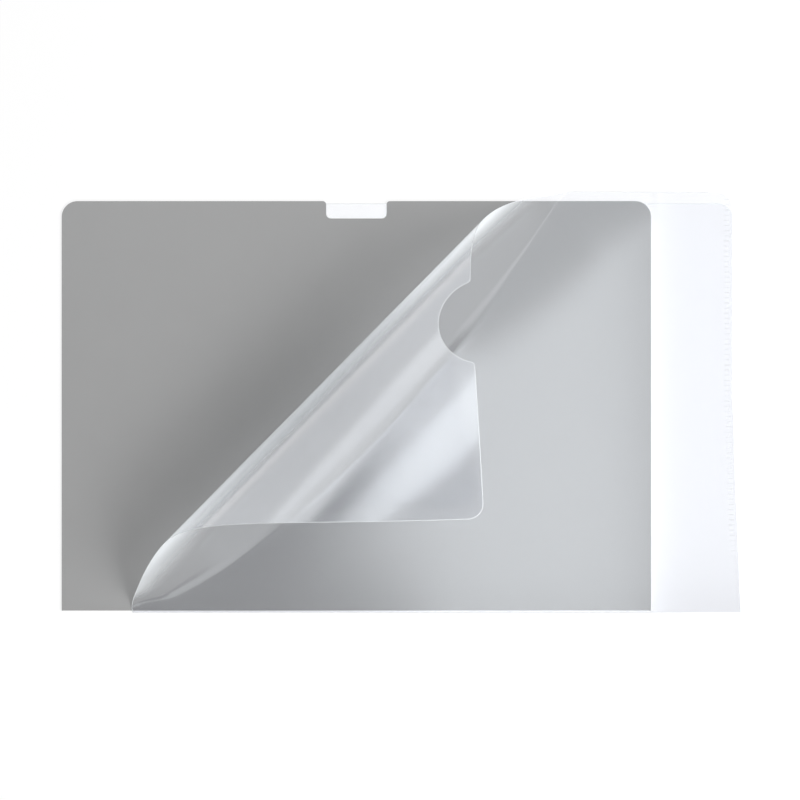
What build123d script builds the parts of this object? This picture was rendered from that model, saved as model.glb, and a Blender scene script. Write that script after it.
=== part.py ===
from build123d import *
import math
import os

# Laptop privacy filter lying in its clear storage folder, in millimetres.
# +X runs along the screen's width, +Y towards the camera notch, +Z up from the table.
# The origin is at the middle of the whole outline, on the table.

# Filter panel
panel_width = 308.0
panel_height = 214.0
panel_thickness = 0.5
panel_corner = 8.3
camera_notch_width = 31.6
camera_notch_depth = 9.1
camera_notch_root = 2.6
camera_notch_lip = 1.8

# Clear folder: one sheet, folded along the bottom and welded down the right
sheet = 0.2
sleeve_height = 220.0
panel_overhang = 37.6
panel_above_fold = 1.2
panel_end_gap = 1.2
back_leaf_step = 6.0
leaf_corner = 8.0
foot_corner = 2.0
edge_lean = 4.5
edge_lean_height = 108.0
edge_lean_blend = 120.0

# Weld: the two leaves come together and are pressed into a ladder of short bars
weld_band = 12.5
pinch_length = 33.5
bar_length = 2.6
bar_width = 0.8
bar_depth = 0.1
bar_pitch = 2.7
bar_inset = 3.1
bars_from_top = 4.0
bars_from_fold = 11.5

# Peeled front leaf: it lifts off along a slanting line from the fold's free end, rises
# through a tight bend, rolls over through a wide one, and droops towards its free corner
peel_angle = 45.43
top_edge_slope = 2.91
rise_length = 11.6
rise_turn = 77.0
roll_start = 35.2
roll_length = 107.0
roll_turn = 103.0
droop_start = 91.0
droop_turn = 14.0
curl_sections = 48
profile_steps = 400

# Thumb notch in the front leaf's top edge
thumb_notch_from_corner = 78.0
thumb_notch_width = 41.0
thumb_notch_depth = 17.0
thumb_notch_lip = 3.0

# Room that a cutting body keeps beyond the sheet it cuts
cut_margin = 2.0

# The folder is wide enough for the panel's covered part, the pinch and the weld
sleeve_width = panel_width - panel_overhang + panel_end_gap + pinch_length + weld_band

x_left = -(panel_overhang + sleeve_width) / 2
x_sleeve = x_left + panel_overhang
x_right = x_sleeve + sleeve_width
y_fold = -sleeve_height / 2
y_top = sleeve_height / 2
y_panel = y_fold + panel_above_fold
stack = panel_thickness + 2 * sheet
y_flat = y_fold + stack / 2


def plate(corners, bottom, height):
    """Upright plate from (x, y, corner radius) points."""
    face = make_face(Polyline([(x, y) for x, y, r in corners], close=True))
    for x, y, r in corners:
        if r > 0:
            face = fillet(face.vertices().sort_by_distance((x, y, 0))[0], r)
    return extrude(Pos(0, 0, bottom) * face, amount=height)


# Filter panel: one laminated sheet with the camera notch in its top edge
y_panel_top = y_panel + panel_height
notch_half = camera_notch_width / 2
x_notch = x_left + panel_width / 2
panel = plate(
    [
        (x_left, y_panel, 0),
        (x_left + panel_width, y_panel, 0),
        (x_left + panel_width, y_panel_top, panel_corner),
        (x_notch + notch_half, y_panel_top, camera_notch_lip),
        (x_notch + notch_half, y_panel_top - camera_notch_depth, camera_notch_root),
        (x_notch - notch_half, y_panel_top - camera_notch_depth, camera_notch_root),
        (x_notch - notch_half, y_panel_top, camera_notch_lip),
        (x_left, y_panel_top, panel_corner),
    ],
    sheet,
    panel_thickness,
)


def folder_section(x, height, leaf):
    """Section of the folder across the fold: two leaves joined by a half-round turn."""
    inner = height / 2 - leaf
    turn = height / 2
    y_back = y_top - back_leaf_step
    outline = [
        Line((y_back, 0), (y_flat, 0)),
        ThreePointArc((y_flat, 0), (y_flat - turn, turn), (y_flat, height)),
        Line((y_flat, height), (y_top, height)),
        Line((y_top, height), (y_top, height - leaf)),
        Line((y_top, height - leaf), (y_flat, height - leaf)),
        ThreePointArc((y_flat, height - leaf), (y_flat - inner, turn), (y_flat, leaf)),
        Line((y_flat, leaf), (y_back, leaf)),
        Line((y_back, leaf), (y_back, 0)),
    ]
    across = Plane(origin=(x, 0, 0), x_dir=(0, 1, 0), z_dir=(1, 0, 0))
    return across * make_face(outline)


# Two leaves and their fold, as far as the place where they come together
x_weld = x_right - weld_band
x_pinch = x_weld - pinch_length
folder = extrude(folder_section(x_sleeve, stack, sheet), amount=x_pinch - x_sleeve)

# The leaves come down to each other beside the weld, with a hair of air left between them
pinch = loft([folder_section(x_pinch, stack, sheet), folder_section(x_weld, 2 * sheet, 0.95 * sheet)])

# Weld: both leaves in one
y_back_top = y_top - back_leaf_step
weld_outline = [
    Line((y_back_top, 0), (y_flat, 0)),
    ThreePointArc((y_flat, 0), (y_flat - sheet, sheet), (y_flat, 2 * sheet)),
    Line((y_flat, 2 * sheet), (y_top, 2 * sheet)),
    Line((y_top, 2 * sheet), (y_top, sheet)),
    Line((y_top, sheet), (y_back_top, sheet)),
    Line((y_back_top, sheet), (y_back_top, 0)),
]
weld_plane = Plane(origin=(x_weld, 0, 0), x_dir=(0, 1, 0), z_dir=(1, 0, 0))
weld = extrude(weld_plane * make_face(weld_outline), amount=weld_band)


def edge_x(y):
    """Right edge of the folder at height y: upright above, leaning out towards the fold."""
    return x_right - edge_lean * min(1.0, (y - y_fold) / edge_lean_height)


# Ladder of short bars pressed into the weld
bar_count = int((sleeve_height - bars_from_top - bars_from_fold) / bar_pitch) + 1
bars = []
for i in range(bar_count):
    y_bar = y_top - bars_from_top - i * bar_pitch
    bar = Box(bar_length, bar_width, bar_depth, align=(Align.CENTER, Align.CENTER, Align.MAX))
    bars.append(Pos(edge_x(y_bar) - bar_inset, y_bar, 2 * sheet) * bar)
weld = weld - bars

# Outline of the folder seen from above
y_foot = y_fold - foot_corner / 2
trim = plate(
    [
        (x_sleeve, y_foot, 0),
        (x_right, y_foot, foot_corner),
        (x_right - edge_lean, y_fold + edge_lean_height, edge_lean_blend),
        (x_right - edge_lean, y_top, leaf_corner),
        (x_sleeve, y_top, 0),
    ],
    -cut_margin,
    stack + 2 * cut_margin,
)
flat = (folder + pinch + weld) & trim

# Rounded free corner of the back leaf
back_corner = plate(
    [
        (x_sleeve, y_back_top - leaf_corner, 0),
        (x_sleeve + leaf_corner, y_back_top, 0),
        (x_sleeve, y_back_top, 0),
    ],
    -cut_margin,
    cut_margin + 1.5 * sheet,
)
back_round = Pos(x_sleeve + leaf_corner, y_back_top - leaf_corner, 0) * Cylinder(leaf_corner, 3 * cut_margin)
flat = flat - (back_corner - back_round)

# Front leaf: the part beyond the lift-off line is taken out of the flat folder
peel = math.radians(peel_angle)
reach = (y_top - y_flat) / math.sin(peel)
along = Vector(math.cos(peel), math.sin(peel), 0)
across = Vector(-math.sin(peel), math.cos(peel), 0)
lift_off = Vector(x_sleeve, y_flat, stack - sheet / 2)
lift_end = lift_off + along * reach
past_end = lift_end + along * cut_margin
beyond = plate(
    [
        (x_sleeve, y_flat, 0),
        (past_end.X, past_end.Y, 0),
        (x_sleeve - cut_margin, past_end.Y, 0),
        (x_sleeve - cut_margin, y_flat, 0),
    ],
    1.5 * sheet,
    stack,
)
flat = flat - beyond

# The leaf's top edge runs a little uphill from the end of the lift-off line to the free corner
slope = math.radians(top_edge_slope)
y_corner = y_top + (lift_end.X - x_sleeve) * math.tan(slope)
s_corner = reach / (math.tan(peel) + 1 / math.tan(peel + slope))


def part_of(s, start, length):
    """Share of a stretch that is passed at distance s."""
    return min(1.0, max(0.0, (s - start) / length))


def turn_at(s):
    """Angle through which the leaf has turned at distance s from the lift-off line."""
    rise = rise_turn * (1 - (1 - part_of(s, 0, rise_length)) ** 2)
    roll = roll_turn * (1 - (1 - part_of(s, roll_start, roll_length)) ** 3)
    droop = droop_turn * part_of(s, droop_start, s_corner - droop_start) ** 1.5
    return math.radians(rise + roll + droop)


def profile(s):
    """Distance across the table and height of the leaf at distance s from the lift-off line."""
    step = s / profile_steps
    run = 0.0
    rise = 0.0
    for i in range(profile_steps):
        angle = turn_at((i + 0.5) * step)
        run += math.cos(angle) * step
        rise += math.sin(angle) * step
    return run, rise


def on_leaf(s, t, depth=0.0):
    """Point on the peeled leaf: s across the lift-off line, t along it, depth off its middle."""
    run, rise = profile(s)
    angle = turn_at(s)
    middle = lift_off + along * t + across * run + Vector(0, 0, rise)
    return middle + across * (-math.sin(angle) * depth) + Vector(0, 0, math.cos(angle) * depth)


def leaf_plane(from_corner):
    """Plane on the peeled leaf's top edge at a distance from the free corner, x along the edge."""
    s = s_corner - from_corner * math.sin(peel + slope)
    t = s_corner * math.tan(peel) + from_corner * math.cos(peel + slope)
    angle = turn_at(s)
    downhill = across * math.cos(angle) + Vector(0, 0, math.sin(angle))
    normal = across * (-math.sin(angle)) + Vector(0, 0, math.cos(angle))
    x_dir = along * math.cos(peel + slope) - downhill * math.sin(peel + slope)
    return Plane(origin=on_leaf(s, t), x_dir=x_dir, z_dir=normal)


# Peeled leaf: straight lines parallel to the lift-off line, carried up and over.
# They stand closest in the tight bend at the foot.
s_end = s_corner - 0.2 * leaf_corner
half = sheet / 2
sections = []
for i in range(curl_sections + 1):
    s = s_end * (i / curl_sections) ** 1.5
    t_left = s * math.tan(peel)
    t_top = reach - s / math.tan(peel + slope)
    ring = [
        on_leaf(s, t_left, -half),
        on_leaf(s, t_top, -half),
        on_leaf(s, t_top, half),
        on_leaf(s, t_left, half),
    ]
    sections.append(Wire.make_polygon(ring, close=True))
curl = Solid.make_loft(sections)

# Rounded free corner of the peeled leaf, where two edges meet a little out of square
corner_reach = leaf_corner / math.tan((math.pi / 2 - slope) / 2)
corner_foot = (corner_reach * math.sin(slope), -corner_reach * math.cos(slope))
corner_face = make_face(
    [
        Line(corner_foot, (-cut_margin, corner_foot[1])),
        Line((-cut_margin, corner_foot[1]), (-cut_margin, cut_margin)),
        Line((-cut_margin, cut_margin), (corner_reach, cut_margin)),
        Line((corner_reach, cut_margin), (corner_reach, 0)),
        RadiusArc((corner_reach, 0), corner_foot, -leaf_corner),
    ]
)
corner_gap = 0.02 * leaf_corner
corner_place = leaf_plane(0) * Pos(-corner_gap, corner_gap)
corner_cut = extrude(corner_place * corner_face, amount=2 * cut_margin, both=True)
curl = curl - corner_cut

# Thumb notch: a round bite with softened ends
notch_radius = (thumb_notch_width ** 2 / 4 + thumb_notch_depth ** 2) / (2 * thumb_notch_depth)
bite = Pos(0, notch_radius - thumb_notch_depth) * Circle(notch_radius)
above = Pos(0, 0.1 * thumb_notch_lip) * Rectangle(
    thumb_notch_width + 2.4 * thumb_notch_lip, 2 * thumb_notch_depth, align=(Align.CENTER, Align.MIN)
)
notch_face = (bite + above).face()
ends = notch_face.vertices().sort_by(Axis.Y)[:2]
notch_face = fillet(ends, thumb_notch_lip)
thumb_plane = leaf_plane(thumb_notch_from_corner + thumb_notch_width / 2)
thumb_cut = extrude(thumb_plane * notch_face, amount=3 * cut_margin, both=True)
curl = curl - thumb_cut

sleeve = flat + curl

os.makedirs("parts", exist_ok=True)
export_step(panel, "parts/privacy_panel.step")
export_step(sleeve, "parts/storage_sleeve.step")
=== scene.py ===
# %% [markdown]
# # A laptop privacy filter in its clear folder
# The object is two sheets. A thin grey filter panel lies inside a clear folder, and the folder's
# front leaf is peeled back in a big roll. The script loads both as a fixed frame at real size.
# The panel keeps its solid and only gets a finish. The folder is modelled again as a fine mesh,
# because light slides over a rolled clear sheet and shows every facet of a coarse one.

# %% Load the frame
import math

import bmesh
import bpy
from mathutils import Matrix, Vector


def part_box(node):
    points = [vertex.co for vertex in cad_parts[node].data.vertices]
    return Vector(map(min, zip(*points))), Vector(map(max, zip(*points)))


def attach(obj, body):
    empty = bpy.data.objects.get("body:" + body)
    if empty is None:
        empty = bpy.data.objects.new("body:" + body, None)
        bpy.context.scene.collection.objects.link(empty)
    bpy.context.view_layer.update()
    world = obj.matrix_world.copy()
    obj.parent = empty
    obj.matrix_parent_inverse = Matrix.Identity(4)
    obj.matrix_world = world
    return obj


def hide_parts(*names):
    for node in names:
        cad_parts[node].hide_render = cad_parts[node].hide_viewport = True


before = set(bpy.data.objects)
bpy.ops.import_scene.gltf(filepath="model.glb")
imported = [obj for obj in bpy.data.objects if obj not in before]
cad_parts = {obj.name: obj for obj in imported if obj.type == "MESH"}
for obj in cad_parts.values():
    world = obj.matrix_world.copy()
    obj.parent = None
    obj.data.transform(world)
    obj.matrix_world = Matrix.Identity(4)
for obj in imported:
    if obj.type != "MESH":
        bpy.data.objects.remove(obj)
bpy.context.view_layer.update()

mm = 0.001
panel_low, panel_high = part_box("privacy_panel")
folder_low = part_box("storage_sleeve")[0]

# %% [markdown]
# ## The camera
# The photograph looks straight down from a little over a metre. A long lens keeps the flat panel
# square, and the rolled leaf, which stands nearer to the camera, only spreads a little.

# %% Camera
camera_height = 1250 * mm
view_width = 418.3 * mm
view_centre = Vector((-0.8 * mm, 1.25 * mm, 0))

camera_data = bpy.data.cameras.new("camera")
camera_data.sensor_width = 36
camera_data.lens = camera_data.sensor_width / view_width * camera_height
camera = bpy.data.objects.new("camera", camera_data)
camera.location = view_centre + Vector((0, 0, camera_height))
bpy.context.scene.collection.objects.link(camera)
bpy.context.scene.camera = camera
print("lens in mm:", round(camera_data.lens, 1))

# %% [markdown]
# ## Two helpers for node trees
# Materials and the world are trees of nodes. One helper adds a node and sets its inputs by name,
# with an underscore for a space. The other tells looks that show the background, which are direct,
# mirrored or through glass, from the light that only brightens a surface.

# %% Node helpers


def node_maker(tree):
    """Returns a function that adds a node to this tree and sets its inputs."""

    def add(kind, **inputs):
        node = tree.nodes.new(kind)
        for name, value in inputs.items():
            node.inputs[name.replace("_", " ")].default_value = value
        return node

    return add


def seen_directly(tree):
    """1 for looks that show the background: direct, mirrored or through glass."""
    path = tree.nodes.new("ShaderNodeLightPath")
    either = tree.nodes.new("ShaderNodeMath")
    either.operation = "MAXIMUM"
    tree.links.new(path.outputs["Is Camera Ray"], either.inputs[0])
    tree.links.new(path.outputs["Is Glossy Ray"], either.inputs[1])
    any_of = tree.nodes.new("ShaderNodeMath")
    any_of.operation = "MAXIMUM"
    tree.links.new(either.outputs[0], any_of.inputs[0])
    tree.links.new(path.outputs["Is Transmission Ray"], any_of.inputs[1])
    return any_of.outputs[0]


print("node helpers ready")

# %% [markdown]
# ## The world
# The background is white to every look that shows it. As a lamp it is only a weak fill, so that the
# soft boxes keep the say over light and shade.

# %% World
fill_strength = 0.26

world = bpy.data.worlds.new("studio")
bpy.context.scene.world = world
world.use_nodes = True
tree = world.node_tree
tree.nodes.clear()
add = node_maker(tree)
fill = add("ShaderNodeBackground", Color=(1, 1, 1, 1), Strength=fill_strength)
backdrop = add("ShaderNodeBackground", Color=(1, 1, 1, 1), Strength=1.0)
pick = add("ShaderNodeMixShader")
tree.links.new(seen_directly(tree), pick.inputs["Fac"])
tree.links.new(fill.outputs[0], pick.inputs[1])
tree.links.new(backdrop.outputs[0], pick.inputs[2])
tree.links.new(pick.outputs[0], add("ShaderNodeOutputWorld").inputs["Surface"])
print("fill light:", fill_strength)

# %% [markdown]
# ## The floor
# The floor is plain white. It takes a soft shadow by diffuse light, and a little glow that only
# direct, mirrored and see-through looks can see lifts it to the photograph's white.

# %% Floor
floor_drop = 0.2 * mm
floor_size = 6.0
floor_glow = 0.82

bm = bmesh.new()
bmesh.ops.create_grid(bm, x_segments=1, y_segments=1, size=floor_size / 2)
bmesh.ops.translate(bm, verts=bm.verts, vec=(0, 0, -floor_drop))
floor_mesh = bpy.data.meshes.new("floor")
bm.to_mesh(floor_mesh)
bm.free()
floor = bpy.data.objects.new("floor", floor_mesh)
bpy.context.scene.collection.objects.link(floor)

floor_paint = bpy.data.materials.new("floor_paint")
floor_paint.use_nodes = True
tree = floor_paint.node_tree
tree.nodes.clear()
add = node_maker(tree)
chalk = add("ShaderNodeBsdfDiffuse", Color=(0.8, 0.8, 0.8, 1))
shade = add("ShaderNodeBsdfDiffuse", Color=(0.2, 0.2, 0.2, 1))
glow = add("ShaderNodeEmission", Color=(1, 1, 1, 1), Strength=floor_glow)
bright = add("ShaderNodeAddShader")
tree.links.new(shade.outputs[0], bright.inputs[0])
tree.links.new(glow.outputs[0], bright.inputs[1])
pick = add("ShaderNodeMixShader")
tree.links.new(seen_directly(tree), pick.inputs["Fac"])
tree.links.new(chalk.outputs[0], pick.inputs[1])
tree.links.new(bright.outputs[0], pick.inputs[2])
tree.links.new(pick.outputs[0], add("ShaderNodeOutputMaterial").inputs["Surface"])
floor_mesh.materials.append(floor_paint)
print("floor at mm:", round(-floor_drop / mm, 2))

# %% [markdown]
# ## Lamps for the shade
# A matt panel is drawn by where the light comes from. Two boxes on the right light it and throw the
# roll's soft shade across it, and a weak one behind lights the crest. They are kept out of the
# mirrored looks, which get cards of their own.

# %% Lamps


def softbox(name, place, width, length, brightness):
    """A rectangular soft box facing the middle of the table; its brightness is its radiance."""
    lamp = bpy.data.lights.new(name, "AREA")
    lamp.shape = "RECTANGLE"
    lamp.size = width
    lamp.size_y = length
    lamp.energy = brightness * width * length * math.pi
    box = bpy.data.objects.new(name, lamp)
    box.location = place
    box.rotation_euler = Vector(place).to_track_quat("Z", "Y").to_euler()
    box.visible_camera = False
    box.visible_glossy = False
    bpy.context.scene.collection.objects.link(box)


softbox("right_key", (1.06, 0, 1.06), 0.8, 0.8, 8.4)
softbox("low_key", (0.83, -0.83, 0.92), 0.8, 0.8, 6.0)
softbox("back_key", (-0.5, 1.3, 0.5), 0.7, 0.7, 1.3)

# %% [markdown]
# ## A card that glows
# A clear sheet is drawn by what it mirrors, so it gets cards to mirror. A card with a hard rim would
# show as a hard line, so each one fades out towards its rim: its material reads how near the rim is
# from the UV map and mixes the glow with a clear shader. Only mirrored looks see the cards, so they
# are left out of the lamps that matt surfaces ask for light.

# %% Card material and card


def card_glow(name, width, length, brightness, tint, fade):
    """A glow that fades to clear over the last stretch before the card's rim."""
    material = bpy.data.materials.new(name)
    material.use_nodes = True
    material.cycles.emission_sampling = "NONE"
    tree = material.node_tree
    tree.nodes.clear()
    add = node_maker(tree)
    link = tree.links.new
    across_card = tree.nodes.new("ShaderNodeSeparateXYZ")
    link(tree.nodes.new("ShaderNodeTexCoord").outputs["UV"], across_card.inputs[0])
    shown = tree.nodes.new("ShaderNodeMath")
    shown.operation = "MULTIPLY"
    for i, side in enumerate((width, length)):
        to_rim = tree.nodes.new("ShaderNodeMath")
        to_rim.operation = "PINGPONG"
        to_rim.inputs[1].default_value = 0.5
        link(across_card.outputs[i], to_rim.inputs[0])
        ramp = tree.nodes.new("ShaderNodeMapRange")
        ramp.interpolation_type = "SMOOTHSTEP"
        ramp.inputs["From Max"].default_value = fade / side
        link(to_rim.outputs[0], ramp.inputs["Value"])
        link(ramp.outputs[0], shown.inputs[i])
    light = add("ShaderNodeEmission", Color=(*tint, 1), Strength=brightness)
    faded = add("ShaderNodeMixShader")
    link(shown.outputs[0], faded.inputs["Fac"])
    link(add("ShaderNodeBsdfTransparent", Color=(1, 1, 1, 1)).outputs[0], faded.inputs[1])
    link(light.outputs[0], faded.inputs[2])
    link(faded.outputs[0], add("ShaderNodeOutputMaterial").inputs["Surface"])
    return material


def card(name, place, aim, width, length, turn, brightness, tint, fade):
    """A glowing card at a place, facing a point, that fades out towards its rim."""
    bm = bmesh.new()
    bm.loops.layers.uv.new("UVMap")
    bmesh.ops.create_grid(bm, x_segments=1, y_segments=1, size=0.5, calc_uvs=True)
    bmesh.ops.scale(bm, verts=bm.verts, vec=(width, length, 1))
    facing = (Vector(aim) - Vector(place)).to_track_quat("Z", "Y").to_matrix().to_4x4()
    spin = Matrix.Rotation(math.radians(turn), 4, "Z")
    bmesh.ops.transform(bm, verts=bm.verts, matrix=Matrix.Translation(place) @ facing @ spin)
    mesh = bpy.data.meshes.new(name)
    bm.to_mesh(mesh)
    bm.free()
    mesh.materials.append(card_glow(name, width, length, brightness, tint, fade))
    board = bpy.data.objects.new(name, mesh)
    bpy.context.scene.collection.objects.link(board)
    board.visible_camera = False
    board.visible_diffuse = False
    board.visible_transmission = False
    board.visible_shadow = False


print("card maker ready")

# %% [markdown]
# ## Cards for the shine
# Under a dark ceiling, one bright card beside the camera lays the sheen on the flat leaf and the
# white band on the flap. A dimmer one on its right tones the swell of the leaf, and those at the
# upper left draw the roll.

# %% Cards
white = (1, 1, 1)
cool = (0.92, 0.965, 1)
pale = (0.95, 0.98, 1)
table = (0, 0, 0)


def card_above(name, place, *rest):
    """A card that faces straight down."""
    card(name, place, (place[0], place[1], 0), *rest)


card_above("ceiling", (0, 0, 2.2), 5, 5, 0, 0.15, white, 0.05)
card_above("sheen_skirt", (0.047, 0, 1.3), 0.36, 0.56, 0, 4.3, cool, 0.16)
card_above("sheen", (0.143, 0, 1.25), 0.286, 0.55, 0, 4.5, cool, 0.045)
card_above("flap_tone", (-0.064, 0.177, 1.27), 0.36, 0.36, 45, 1.5, pale, 0.07)
card_above("swell_tone", (0.505, 0.04, 1.26), 0.61, 0.56, 0, 1.4, cool, 0.08)
card_above("streak_tone", (0.778, -0.184, 1.27), 0.6, 0.6, 45, 2.4, pale, 0.08)
card_above("foot_tone", (0.113, -0.806, 1.28), 0.64, 0.64, 45, 1.7, pale, 0.08)
card("front_glow", (0.95, -0.95, 0.85), table, 1.3, 1.8, 0, 1.5, pale, 0.15)
card("crest_band", (-0.4, 0.4, 1.15), table, 0.45, 0.95, 45, 4.4, pale, 0.1)
card("side_glow", (-0.95, 0.95, 1.0), table, 1.3, 1.8, 0, 2.4, pale, 0.15)
card("rim", (-1.1, 1.1, 0.2), (0, 0, 0.03), 1.4, 0.4, 0, 3.0, white, 0.05)

# %% [markdown]
# ## The folder as a flat sheet
# The real folder is one clear sheet, cut flat, folded and welded. The mesh is made the same way:
# its cut outline is drawn flat, with the back leaf unfolded below the fold line, and it is bent
# into place afterwards. First come its measures: the levels of the two leaves, the height, and the
# slanting line along which the front leaf is peeled off.

# %% Measures of the sheet
film = 0.16 * mm
front_level = 0.81 * mm
back_level = 0.09 * mm
weld_level = 0.32 * mm
fold_radius = (front_level - back_level) / 2
fold_strip = math.pi * fold_radius

leaf_height = 220 * mm
y_fold = -leaf_height / 2
y_top = leaf_height / 2
fold_room = 0.45 * mm
y_flat = y_fold + fold_room
x_left = folder_low.x
overall_length = 355.1 * mm
x_right = panel_low.x + overall_length
back_step = 6 * mm
y_back_end = y_flat - fold_strip - (y_top - back_step - y_flat)

peel = math.radians(45.43)
top_slope = math.radians(2.91)
along = Vector((math.cos(peel), math.sin(peel), 0))
across = Vector((-math.sin(peel), math.cos(peel), 0))
lift_off = Vector((x_left, y_flat, front_level))
reach = (y_top - y_flat) / math.sin(peel)
lift_end = lift_off + along * reach
y_corner = y_top + (lift_end.x - x_left) * math.tan(top_slope)
print("flat sheet in mm:", round((x_right - x_left) / mm, 1), "x", round((y_top - y_back_end) / mm, 1))

# %% [markdown]
# ## The cut outline
# Only the corners are typed, and the thumb notch is an arc worked out from its width and depth. One
# face fills the outline: it is cut up later, when it is known where the sheet bends.

# %% Outline of the sheet
notch_from_corner = 78 * mm
notch_width = 41 * mm
notch_depth = 17 * mm
notch_points = 40


def thumb_notch():
    """Points of the round bite in the sloping top edge, from its right end to its left end."""
    radius = (notch_width ** 2 / 4 + notch_depth ** 2) / (2 * notch_depth)
    left_along = Vector((-math.cos(top_slope), math.sin(top_slope), 0))
    down = Vector((-math.sin(top_slope), -math.cos(top_slope), 0))
    middle = Vector((x_left, y_corner, 0)) - left_along * (notch_from_corner + notch_width / 2)
    centre = middle + down * (notch_depth - radius)
    half = math.acos((radius - notch_depth) / radius)
    points = []
    for i in range(notch_points + 1):
        angle = -half + 2 * half * i / notch_points
        points.append(centre + left_along * radius * math.sin(angle) + down * radius * math.cos(angle))
    return points


bite = thumb_notch()
outline = [
    Vector((x_left, y_back_end, 0)),
    Vector((x_right, y_back_end, 0)),
    Vector((x_right, y_top, 0)),
    Vector((lift_end.x, y_top, 0)),
    *bite,
    Vector((x_left, y_corner, 0)),
]
sheet = bmesh.new()
corners = [sheet.verts.new(p) for p in outline]
sheet.faces.new(corners)
print("outline points:", len(outline))

# %% [markdown]
# ## Rounded corners and a frosted rim
# Bevels on single vertices round the corners of the flat outline. A clear sheet is seen by its cut
# edge, so an inset leaves a narrow rim there, which gets a frosted material of its own later.

# %% Rounded corners and rim
corner_radius = 8 * mm
corner_steps = 12
notch_lip = 1.5 * mm
notch_lip_steps = 4
rim_width = 0.36 * mm


def round_off(verts, radius, steps):
    """Rounds corners of the outline."""
    bmesh.ops.bevel(
        sheet, geom=verts, offset=radius, offset_type="OFFSET", affect="VERTICES",
        segments=steps, profile=0.5, material=-1,
    )


def at_point(point):
    """The vertex of the outline that lies at a point."""
    return min(sheet.verts, key=lambda v: (v.co - point).length)


round_off([corners[0], corners[1], corners[2], corners[-1]], corner_radius, corner_steps)
round_off([at_point(bite[0]), at_point(bite[-1])], notch_lip, notch_lip_steps)
rim = bmesh.ops.inset_region(
    sheet, faces=sheet.faces[:], thickness=rim_width, use_boundary=True, use_even_offset=True
)
for face in rim["faces"]:
    face.material_index = 1
print("rim faces:", len(rim["faces"]))

# %% [markdown]
# ## Cuts at the fold and the weld
# A flat face can't bend, so it is cut by planes where the real sheet curves: round the fold, and
# where the two leaves come together beside the weld. Two guard cuts beside each bend keep the
# shading of the flat part next to it flat.

# %% Cuts at the fold and the weld
weld_band = 12.5 * mm
x_weld = x_right - weld_band
pinch_gap = 1 * mm
x_pinch = panel_high.x + pinch_gap
pinch_length = x_weld - x_pinch
fold_steps = 8
pinch_steps = 12
guards = (0.4 * mm, 1.5 * mm)


def cut(mesh, place, normal, wanted=None):
    """Cuts the faces that are wanted along a plane."""
    faces = [f for f in mesh.faces if wanted is None or wanted(f.calc_center_median())]
    edges = {e for f in faces for e in f.edges}
    verts = {v for f in faces for v in f.verts}
    bmesh.ops.bisect_plane(
        mesh, geom=list(verts) + list(edges) + faces, plane_co=place, plane_no=normal, dist=1e-8
    )


for i in range(fold_steps + 1):
    cut(sheet, (0, y_flat - fold_strip * i / fold_steps, 0), (0, 1, 0))
for i in range(pinch_steps + 1):
    cut(sheet, (x_pinch + pinch_length * i / pinch_steps, 0, 0), (1, 0, 0))
for guard in guards:
    cut(sheet, (0, y_flat + guard, 0), (0, 1, 0))
    cut(sheet, (0, y_flat - fold_strip - guard, 0), (0, 1, 0))
    cut(sheet, (x_pinch - guard, 0, 0), (1, 0, 0))
    cut(sheet, (x_weld + guard, 0, 0), (1, 0, 0))
print("faces after the fold and weld cuts:", len(sheet.faces))

# %% [markdown]
# ## Cuts across the roll
# The roll bends most between the lift-off line and its crest, so the cuts are closest there. Cuts
# the other way, and across the clear strip on the right, keep the faces from growing long and thin,
# which would smear the shading.

# %% Cuts across the roll
before_lift = 76 * mm
fine_from = -4 * mm
fine_to = 80 * mm
fine_step = 1 * mm
coarse_step = 2 * mm
along_step = 3 * mm
edge_slices = 24


def front_left(centre):
    """True on the part of the front leaf that can lift off."""
    return centre.y > y_flat and centre.x < x_pinch


def beside_panel(centre):
    """True on the clear strip to the right of the panel."""
    return centre.x > panel_high.x


s_corner = (Vector((x_left, y_corner, 0)) - lift_off).dot(across)
s = -before_lift
roll_cuts = 0
while s < s_corner:
    cut(sheet, lift_off + across * s, across, front_left)
    s += fine_step if fine_from < s < fine_to else coarse_step
    roll_cuts += 1
t = 0
while t < reach:
    cut(sheet, lift_off + along * t, along, front_left)
    t += along_step
for i in range(1, edge_slices):
    slice_height = (y_top - y_flat) * i / edge_slices
    cut(sheet, (0, y_flat + slice_height, 0), (0, 1, 0), beside_panel)
    cut(sheet, (0, y_back_end + slice_height, 0), (0, 1, 0), beside_panel)
print("roll cuts:", roll_cuts, "faces:", len(sheet.faces))

# %% [markdown]
# ## The weld's ladder of bars
# The right edge is closed by a heated tool that presses a row of short bars. Each bar is a face of
# the front leaf, pushed down with a narrow sloping wall.

# %% Weld bars
bar_length = 2.6 * mm
bar_width = 0.8 * mm
bar_pitch = 2.7 * mm
bar_inset = 3.1 * mm
bars_from_top = 4 * mm
bars_from_fold = 11.5 * mm
bar_press = 0.06 * mm
bar_wall = 0.15 * mm
near_bar = 4 * bar_pitch
x_bar = x_right - bar_inset
y_first_bar = y_top - bars_from_top
bar_count = int((leaf_height - bars_from_top - bars_from_fold) / bar_pitch) + 1


def in_weld_band(centre):
    """True on the front leaf's part of the weld band."""
    return centre.y > y_flat and centre.x > x_weld


def in_bar_strip(centre):
    """True on the narrow strip of the front leaf that holds the row of bars."""
    return centre.y > y_flat and abs(centre.x - x_bar) < bar_length / 2


def in_bar(centre):
    """True inside one of the bars."""
    along_row = (y_first_bar - centre.y) / bar_pitch
    from_middle = abs(along_row - round(along_row)) * bar_pitch
    return in_bar_strip(centre) and from_middle < bar_width / 2 and -0.5 < along_row < bar_count - 0.5


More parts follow.
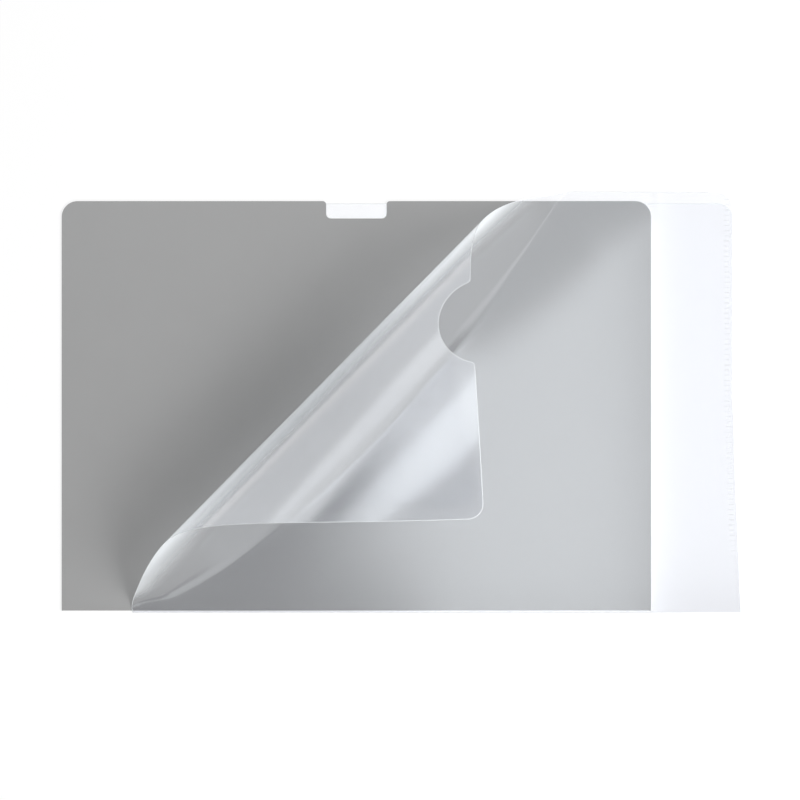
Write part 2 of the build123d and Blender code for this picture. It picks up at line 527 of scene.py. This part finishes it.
for x in (x_bar - bar_length / 2, x_bar + bar_length / 2):
    cut(sheet, (x, 0, 0), (1, 0, 0), in_weld_band)
for i in range(bar_count):
    y = y_first_bar - i * bar_pitch
    for side in (-bar_width / 2, bar_width / 2):
        cut(sheet, (0, y + side, 0), (0, 1, 0), lambda c: in_bar_strip(c) and abs(c.y - y) < near_bar)
bar_faces = [f for f in sheet.faces if in_bar(f.calc_center_median())]
bmesh.ops.inset_region(sheet, faces=bar_faces, thickness=bar_wall, depth=0, use_boundary=True)
for vert in {v for f in bar_faces for v in f.verts}:
    vert.co.z -= bar_press
for face in bar_faces:
    face.material_index = 2
print("bars:", bar_count, "bar faces:", len(bar_faces))

# %% [markdown]
# ## The roll's profile
# Seen along the lift-off line, the leaf is one curve that turns as it goes: it rises, rolls over
# and droops to its free corner. The curve is walked in small equal steps with the turn at each
# step, so the sheet keeps its length along it.

# %% Roll profile
rise_turn = math.radians(77)
rise_length = 11.6 * mm
roll_start = 35.2 * mm
roll_turn = math.radians(103)
roll_length = 107 * mm
droop_start = 91 * mm
droop_turn = math.radians(14)
profile_step = 0.1 * mm
profile_spare = 5 * mm


def part_of(value, start, length):
    """How much of a stretch lies behind a value, from 0 to 1."""
    return min(1.0, max(0.0, (value - start) / length))


def turn_at(s):
    """Angle through which the leaf has turned at distance s past the lift-off line."""
    rise = rise_turn * (1 - (1 - part_of(s, 0, rise_length)) ** 2)
    roll = roll_turn * (1 - (1 - part_of(s, roll_start, roll_length)) ** 3)
    droop = droop_turn * part_of(s, droop_start, s_corner - droop_start) ** 1.5
    return rise + roll + droop


profile = [(0.0, 0.0)]
while len(profile) * profile_step < s_corner + profile_spare:
    angle = turn_at((len(profile) - 0.5) * profile_step)
    run, rise = profile[-1]
    profile.append((run + math.cos(angle) * profile_step, rise + math.sin(angle) * profile_step))


def profile_at(s):
    """Distance across the table and height of the leaf at distance s past the lift-off line."""
    i = min(int(s / profile_step), len(profile) - 2)
    part = s / profile_step - i
    (run_a, rise_a), (run_b, rise_b) = profile[i], profile[i + 1]
    return run_a + (run_b - run_a) * part, rise_a + (rise_b - rise_a) * part


s_crest = next(i for i in range(len(profile)) if turn_at(i * profile_step) > math.pi / 2) * profile_step
run_crest, rise_crest = profile_at(s_crest)
print("crest height in mm:", round(rise_crest / mm, 1))

# %% [markdown]
# ## The lift-off
# A soft sheet doesn't leave the panel along a ruler. The line where it lifts off is bowed, a low
# swell runs before it, and the sheet then rises in a round, fuller near the fold, to the upright
# crest. From the crest on it follows the roll.

# %% Lift-off
lift_near = 9 * mm
lift_middle = 20 * mm
lift_hold = 22 * mm
foot_bulge = 0.4
foot_bulge_reach = 60 * mm
lift_sharpness = 0.8
swell_tilt = math.tan(math.radians(6.5))
swell_from = 0.35
swell_over = 0.4
swell_width = 42 * mm
swell_fade = 34 * mm


def smooth(u):
    """Soft step from 0 to 1."""
    u = min(1.0, max(0.0, u))
    return u * u * (3 - 2 * u)


def peeled(s, t, y):
    """Distance across and height of the leaf: a bowed lift-off, a round rise, then the roll."""
    middle = part_of(t, 0, reach)
    start = -(lift_near + 4 * lift_middle * middle * (1 - middle)) * smooth(t / lift_hold)
    tilt = swell_tilt * smooth((middle - swell_from) / swell_over)
    swell = tilt * swell_width * part_of(s, start - swell_width, swell_width) ** 2 / 2
    swell *= (1 - smooth(s / swell_fade)) * smooth((y - y_flat) / lift_hold)
    if s <= start:
        return s, swell
    if s >= s_crest:
        return profile_at(s)
    turn = math.pi / 2 * (s - start) / (s_crest - start)
    bulge = 1 - foot_bulge * (1 - smooth(t / foot_bulge_reach))
    run = start + (run_crest - start) * math.sin(turn) ** bulge
    return run, rise_crest * (1 - math.cos(turn)) ** lift_sharpness + swell


print("lift-off bow in mm:", round((lift_near + lift_middle) / mm, 1))

# %% [markdown]
# ## Bending the sheet into the folder
# Every vertex is carried from its flat place to where it lies. Below the fold line it goes round
# the fold to the back leaf. Beside the weld the leaves sink together, and the welded edge leans out
# towards the fold. The welded band is pressed flat, so its faces are shaded flat and the bars stay
# crisp.

# %% Fold, pinch, lean and roll
edge_lean = 4.5 * mm
edge_lean_height = 108 * mm
lean_ease = 0.12
lean_ease_from = 0.7
lean_ease_to = 0.97


def leans(x, y):
    """Shift of the welded edge, which leans out towards the fold below mid-height."""
    weight = smooth((x - panel_high.x) / (x_weld - panel_high.x))
    height = part_of(y, y_fold, edge_lean_height)
    easing = smooth((height - lean_ease_from) / (1 - lean_ease_from))
    ending = 1 - smooth((height - lean_ease_to) / (1 - lean_ease_to))
    return -edge_lean * weight * (height - lean_ease * easing * ending)


def carried(flat):
    """Where a vertex of the flat sheet lies in the finished folder."""
    x, y, press = flat
    pinch = smooth((x - x_pinch) / pinch_length)
    level = front_level + (weld_level - front_level) * pinch
    if y >= y_flat:
        place = Vector((x, y, 0)) - Vector((lift_off.x, lift_off.y, 0))
        s, t = place.dot(across), place.dot(along)
        if s > -before_lift and x < x_pinch:
            run, rise = peeled(s, t, y)
            lifted = lift_off + along * t + across * run
            return Vector((lifted.x, lifted.y, front_level + rise))
        return Vector((x + leans(x, y), y, level + press))
    radius = (level - back_level) / 2
    middle = (level + back_level) / 2
    angle = (y_flat - y) / fold_radius
    if angle < math.pi:
        y_turn = y_flat - radius * math.sin(angle)
        return Vector((x + leans(x, y_turn), y_turn, middle + radius * math.cos(angle)))
    y_back = y_flat + (y_flat - fold_strip - y)
    return Vector((x + leans(x, y_back), y_back, back_level))


for face in sheet.faces:
    face.smooth = face.calc_center_median().x < x_weld
for vert in sheet.verts:
    vert.co = carried(vert.co)
sheet.normal_update()
print("roll height in mm:", round(max(v.co.z for v in sheet.verts) / mm, 1))

# %% [markdown]
# ## Thickness
# The bent sheet gets its thickness from a Solidify modifier. It is a hair thinner than the solid, so
# that it stays clear of the panel and the table. The modifier's rim takes the frosted material of a
# cut edge.

# %% Folder object
folder_mesh = bpy.data.meshes.new("clear_folder")
sheet.to_mesh(folder_mesh)
sheet.free()
folder = bpy.data.objects.new("clear_folder", folder_mesh)
bpy.context.scene.collection.objects.link(folder)
thick = folder.modifiers.new("film", "SOLIDIFY")
thick.thickness = film
thick.offset = 0
thick.use_even_offset = True
thick.material_offset_rim = 1
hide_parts("storage_sleeve")
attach(folder, "root")
print("folder faces:", len(folder_mesh.polygons))

# %% [markdown]
# ## Clear film
# Polypropylene sheet is clear with a faint milky haze, and it mirrors what is above it. Light goes
# straight through such a thin sheet, so a see-through shader stands for it, with a share of haze
# and a gloss that both grow towards grazing looks, where the way through the sheet is longer.

# %% Clear film material
milk_tint = (0.94, 0.975, 1, 1)
see_through = (0.942, 0.946, 0.968, 1)
shade_through = (0.64, 0.64, 0.64, 1)
haze_from = 0.18
haze_to = 0.74
edge_on_haze = 0.85
face_on_gloss = 0.077
edge_on_gloss = 0.7
gloss_power = 5


def clear_film(name, haze, glow_through, roughness):
    """Thin clear plastic: see-through, a little haze, gloss by angle; the far face is left clear."""
    material = bpy.data.materials.new(name)
    material.use_nodes = True
    tree = material.node_tree
    tree.nodes.clear()
    add = node_maker(tree)
    link = tree.links.new
    aslant = add("ShaderNodeLayerWeight", Blend=0.5)

    # The clear part, which lets less light into the shade than it shows to a look.
    seen = add("ShaderNodeBsdfTransparent", Color=see_through)
    shading = add("ShaderNodeBsdfTransparent", Color=shade_through)
    through = add("ShaderNodeMixShader")
    link(tree.nodes.new("ShaderNodeLightPath").outputs["Is Shadow Ray"], through.inputs["Fac"])
    link(seen.outputs[0], through.inputs[1])
    link(shading.outputs[0], through.inputs[2])

    # The milky part, lit from both sides.
    milk = add("ShaderNodeBsdfDiffuse", Color=milk_tint)
    milk_through = add("ShaderNodeBsdfTranslucent", Color=milk_tint)
    milky = add("ShaderNodeMixShader", Fac=glow_through)
    link(milk.outputs[0], milky.inputs[1])
    link(milk_through.outputs[0], milky.inputs[2])
    depth = tree.nodes.new("ShaderNodeMapRange")
    depth.inputs["From Min"].default_value = haze_from
    depth.inputs["From Max"].default_value = haze_to
    depth.inputs["To Min"].default_value = haze
    depth.inputs["To Max"].default_value = edge_on_haze
    depth.interpolation_type = "SMOOTHSTEP"
    link(aslant.outputs["Facing"], depth.inputs["Value"])
    body = add("ShaderNodeMixShader")
    link(depth.outputs[0], body.inputs["Fac"])
    link(through.outputs[0], body.inputs[1])
    link(milky.outputs[0], body.inputs[2])

    # The gloss on top of both.
    gloss = add("ShaderNodeBsdfGlossy", Color=(1, 1, 1, 1), Roughness=roughness)
    steep = tree.nodes.new("ShaderNodeMath")
    steep.operation = "POWER"
    steep.inputs[1].default_value = gloss_power
    link(aslant.outputs["Facing"], steep.inputs[0])
    mirrored = tree.nodes.new("ShaderNodeMath")
    mirrored.operation = "MULTIPLY_ADD"
    mirrored.inputs[1].default_value = edge_on_gloss - face_on_gloss
    mirrored.inputs[2].default_value = face_on_gloss
    link(steep.outputs[0], mirrored.inputs[0])
    whole = add("ShaderNodeMixShader")
    link(mirrored.outputs[0], whole.inputs["Fac"])
    link(body.outputs[0], whole.inputs[1])
    link(gloss.outputs[0], whole.inputs[2])

    far_face = add("ShaderNodeMixShader")
    link(tree.nodes.new("ShaderNodeNewGeometry").outputs["Backfacing"], far_face.inputs["Fac"])
    link(whole.outputs[0], far_face.inputs[1])
    link(add("ShaderNodeBsdfTransparent", Color=(1, 1, 1, 1)).outputs[0], far_face.inputs[2])
    link(far_face.outputs[0], add("ShaderNodeOutputMaterial").inputs["Surface"])
    return material


folder_mesh.materials.append(clear_film("clear_film", 0.03, 0.5, 0.13))
folder_mesh.materials.append(clear_film("cut_edge", 0.65, 0.15, 0.35))
folder_mesh.materials.append(clear_film("pressed_bar", 0.13, 0.9, 0.35))
print("folder materials:", [m.name for m in folder_mesh.materials])

# %% [markdown]
# ## Filter film
# The panel is a dark louvre film with a matt front. From the front it looks an even grey, with a
# mottle so faint that it only keeps the surface from looking painted.

# %% Filter material
filter_film = bpy.data.materials.new("filter_film")
filter_film.use_nodes = True
tree = filter_film.node_tree
shader = tree.nodes["Principled BSDF"]
shader.inputs["Roughness"].default_value = 0.5
mottle = tree.nodes.new("ShaderNodeTexNoise")
mottle.inputs["Scale"].default_value = 45
mottle.inputs["Detail"].default_value = 3
tree.links.new(tree.nodes.new("ShaderNodeTexCoord").outputs["Object"], mottle.inputs["Vector"])
grey = tree.nodes.new("ShaderNodeMapRange")
grey.inputs["To Min"].default_value = 0.333
grey.inputs["To Max"].default_value = 0.347
tree.links.new(mottle.outputs[0], grey.inputs["Value"])
tree.links.new(grey.outputs[0], shader.inputs["Base Color"])
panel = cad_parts["privacy_panel"]
for slot in panel.material_slots:
    slot.material = filter_film
print("panel slots:", len(panel.material_slots))

# %% [markdown]
# ## View settings
# The Standard view shows colours as they are written.

# %% View settings
bpy.context.scene.view_settings.view_transform = "Standard"
